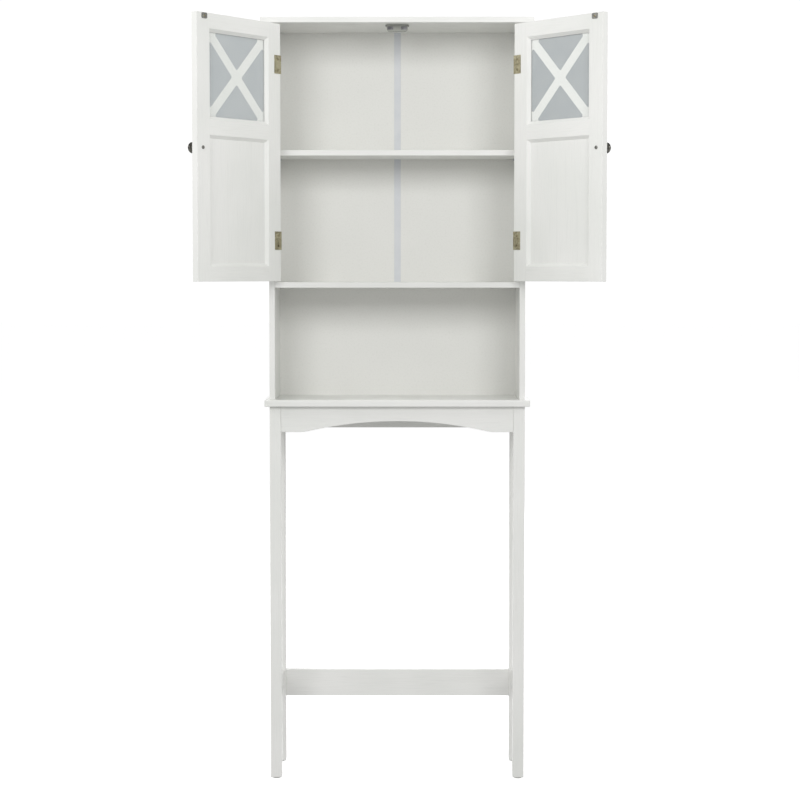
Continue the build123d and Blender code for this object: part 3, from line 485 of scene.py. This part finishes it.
def window_sheet(side):
    """A clear sheet whose outer face carries a frosted film inside each opening of the bars."""
    low, high = door_extent(side, "window_pane")
    corners = [(low[0], low[2]), (high[0], low[2]), (high[0], high[2]), (low[0], high[2])]
    edge = counter_clockwise(rounded_outline(corners, SHEET_CORNER, SHEET_STEPS))
    plates = [slab(edge, low[1], high[1] - SHEET_GAP)]
    for triangle in window_openings(side):
        outline = counter_clockwise(rounded_outline(triangle, CORNER_RADIUS))
        plates.append(slab(outline, high[1] + FILM_CLEARANCE, high[1] + FILM_THICKNESS))
    points, faces, finish_of_face, offset = [], [], [], 0
    for index, (plate_points, plate_faces) in enumerate(plates):
        points.append(plate_points)
        faces += [tuple(offset + i for i in f) for f in plate_faces]
        finish_of_face += [min(index, 1)] * len(plate_faces)
        offset += len(plate_points)
    if side == "right":
        faces = [f[::-1] for f in faces]
    sheet = make_piece(f"{DOORS[side]}_frosted_window", from_door(side, np.vstack(points)), faces,
                       DOORS[side],
                       [FINISHES["frosted_pane"], FINISHES[f"{side}_frost"]],
                       finish_of_face, smooth=False)
    # Seen from inside, the bars lie right behind the sheet, so it lets the light through to them.
    sheet.visible_shadow = False
    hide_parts(f"{DOORS[side]}_window_pane")


for side in SIDES:
    turned_knob(side)
    window_sheet(side)


# ---------------------------------------------------------------- room


FLOOR_REACH = 40.0
FLOOR_GAP = 0.0005
FLOOR_GLOW = 0.55
ROOM_LIGHT = 0.48
ROOM_SEEN = 1.05


def pale_floor():
    """A wide pale floor with a faint mottle, just under the glides."""
    finish = Finish("pale_floor", Specular_IOR_Level=0.1, Emission_Strength=FLOOR_GLOW)
    mottle = finish.noise(2.0, detail=2.0)
    finish.colour(finish.blend(mottle, linear(250, 250, 250), linear(247, 247, 247)))
    finish.roughness(finish.spread(mottle, 0, 1, to_low=0.8, to_high=0.9))
    mesh = bpy.data.meshes.new("floor")
    far, under = FLOOR_REACH, -FLOOR_GAP
    corners = [(-far, -far, under), (far, -far, under), (far, far, under), (-far, far, under)]
    mesh.from_pydata(corners, [], [(0, 1, 2, 3)])
    mesh.materials.append(finish.material)
    floor = bpy.data.objects.new("floor", mesh)
    # The floor glows to look white, and that glow is kept off the cabinet.
    floor.visible_diffuse = False
    bpy.context.scene.collection.objects.link(floor)


def softbox(name, place, target, size, power):
    """A rectangular soft light at a place, aimed at a target."""
    light = bpy.data.lights.new(name, "AREA")
    light.shape = "RECTANGLE"
    light.size, light.size_y = size
    light.energy = power
    lamp = bpy.data.objects.new(name, light)
    bpy.context.scene.collection.objects.link(lamp)
    lamp.location = place
    direction = Vector(target) - Vector(place)
    lamp.rotation_euler = direction.to_track_quat("-Z", "Y").to_euler()


def white_room():
    """An even white surround: what is seen is white, what lights the cabinet is dimmer."""
    world = bpy.data.worlds.new("white_room")
    bpy.context.scene.world = world
    world.use_nodes = True
    nodes, links = world.node_tree.nodes, world.node_tree.links
    seen = nodes.new("ShaderNodeLightPath").outputs["Is Camera Ray"]
    strength = nodes.new("ShaderNodeMapRange")
    strength.inputs["To Min"].default_value = ROOM_LIGHT
    strength.inputs["To Max"].default_value = ROOM_SEEN
    links.new(seen, strength.inputs["Value"])
    links.new(strength.outputs["Result"], nodes["Background"].inputs["Strength"])
    nodes["Background"].inputs["Color"].default_value = (1.0, 1.0, 1.0, 1.0)


pale_floor()
white_room()
softbox("front_left_light", (-1.2, -3.0, 2.3), (0, 0, 1.3), size=(1.2, 1.2), power=27.0)
softbox("front_right_light", (1.2, -3.0, 2.3), (0, 0, 1.3), size=(1.2, 1.2), power=26.5)
softbox("side_left_light", (-4.0, -1.0, 3.2), (0, 0, 1.3), size=(1.4, 1.4), power=60.0)
softbox("side_right_light", (4.0, -1.0, 3.2), (0, 0, 1.3), size=(1.4, 1.4), power=44.0)
softbox("rear_light", (0.6, 4.2, 2.6), (0, 0, 0.9), size=(2.4, 2.0), power=60.0)

bpy.context.scene.view_settings.view_transform = "Standard"

# ---------------------------------------------------------------- camera

CAMERA_PLACE = (0.0182, -4.3675, 1.13)
CAMERA_DOWN = 0.053
CAMERA_TURN = 0.0028
CAMERA_LENS = 87.1
CAMERA_SENSOR = 36.0
CAMERA_SHIFT = -0.03

camera_data = bpy.data.cameras.new("camera")
camera_data.lens = CAMERA_LENS
camera_data.sensor_width = CAMERA_SENSOR
camera_data.shift_y = CAMERA_SHIFT
camera = bpy.data.objects.new("camera", camera_data)
bpy.context.scene.collection.objects.link(camera)
camera.location = CAMERA_PLACE
camera.rotation_euler = (math.pi / 2 - CAMERA_DOWN, 0.0, CAMERA_TURN)
bpy.context.scene.camera = camera
